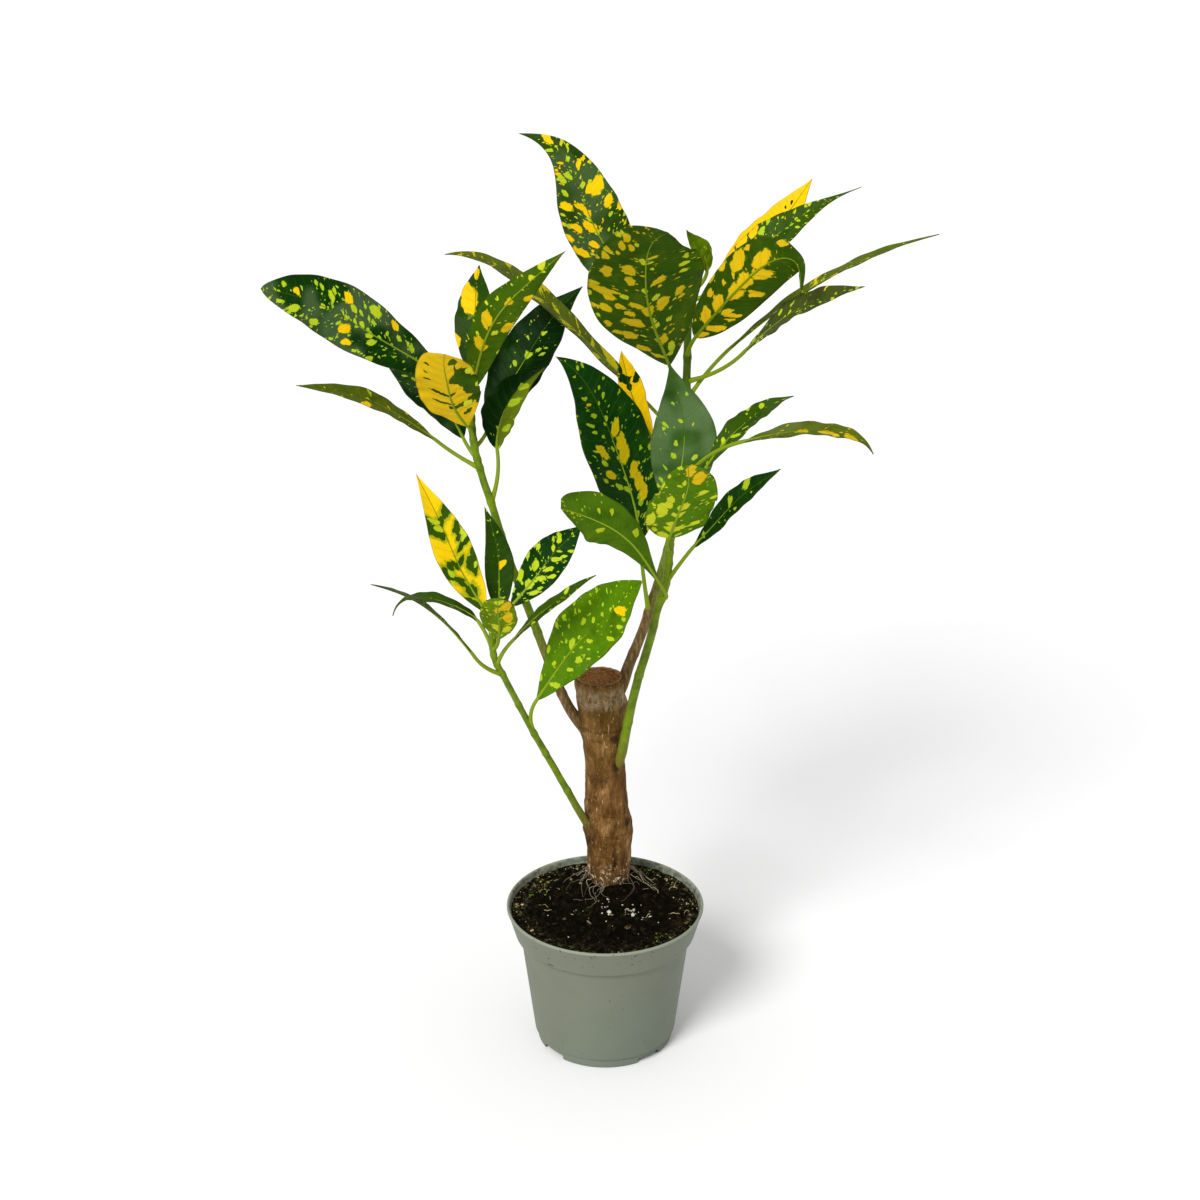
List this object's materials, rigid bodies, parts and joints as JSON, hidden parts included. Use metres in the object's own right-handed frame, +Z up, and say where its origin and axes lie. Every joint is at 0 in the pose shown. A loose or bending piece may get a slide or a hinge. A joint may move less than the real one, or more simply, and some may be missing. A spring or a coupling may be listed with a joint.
{
  "type": "potted croton",
  "caption": "Young potted croton: a cut woody trunk with slender green shoots and yellow-speckled leaves in a round tapered nursery pot.",
  "frame": {"origin": "centre of the pot's underside, on the surface that the pot stands on", "axes": "+Z up, along the pot's axis; -Y towards the viewer of the picture, the side that the plant faces; +X to the viewer's right"},
  "size_m": [0.2792, 0.1337, 0.4076],
  "materials": {
    "pot_plastic": "matte grey-green plastic",
    "potting_soil": "matte moist peat with bark crumbs and perlite",
    "bark": "matte brown bark with an upright grain",
    "stem_green": "satin green bark",
    "stem_brown": "satin brown bark, turning green at the top",
    "leaf_dark": "satin dark green leaf with yellow specks",
    "leaf_light": "satin light green leaf with yellow-green specks",
    "leaf_gold": "satin leaf, mostly golden yellow with green patches"
  },
  "bodies": {
    "root": {"pot": "pot_plastic", "soil": "potting_soil", "trunk": "bark", "stem_upper_left": "stem_green", "stem_lower_left": "stem_green", "stem_centre": "stem_green", "stem_upper_right": "stem_brown", "leaf_upper_left_1": "leaf_dark", "leaf_upper_left_2": "leaf_light", "leaf_upper_left_3": "leaf_dark", "leaf_upper_left_4": "leaf_gold", "leaf_upper_left_5": "leaf_light", "leaf_upper_left_6": "leaf_dark", "leaf_upper_left_7": "leaf_dark", "leaf_upper_left_8": "leaf_dark", "leaf_lower_left_1": "leaf_gold", "leaf_lower_left_2": "leaf_dark", "leaf_lower_left_3": "leaf_dark", "leaf_lower_left_4": "leaf_dark", "leaf_lower_left_5": "leaf_light", "leaf_lower_left_6": "leaf_dark", "leaf_lower_left_7": "leaf_light", "leaf_lower_left_8": "leaf_light", "leaf_centre_1": "leaf_dark", "leaf_centre_2": "leaf_light", "leaf_centre_3": "leaf_light", "leaf_centre_4": "leaf_dark", "leaf_centre_5": "leaf_light", "leaf_centre_6": "leaf_dark", "leaf_upper_right_1": "leaf_dark", "leaf_upper_right_2": "leaf_light", "leaf_upper_right_3": "leaf_gold", "leaf_upper_right_4": "leaf_dark", "leaf_upper_right_5": "leaf_gold", "leaf_upper_right_6": "leaf_light", "leaf_upper_right_7": "leaf_dark", "leaf_upper_right_8": "leaf_light", "leaf_upper_right_9": "leaf_dark", "leaf_upper_right_10": "leaf_gold", "leaf_upper_right_11": "leaf_light"}
  },
  "joints": []
}
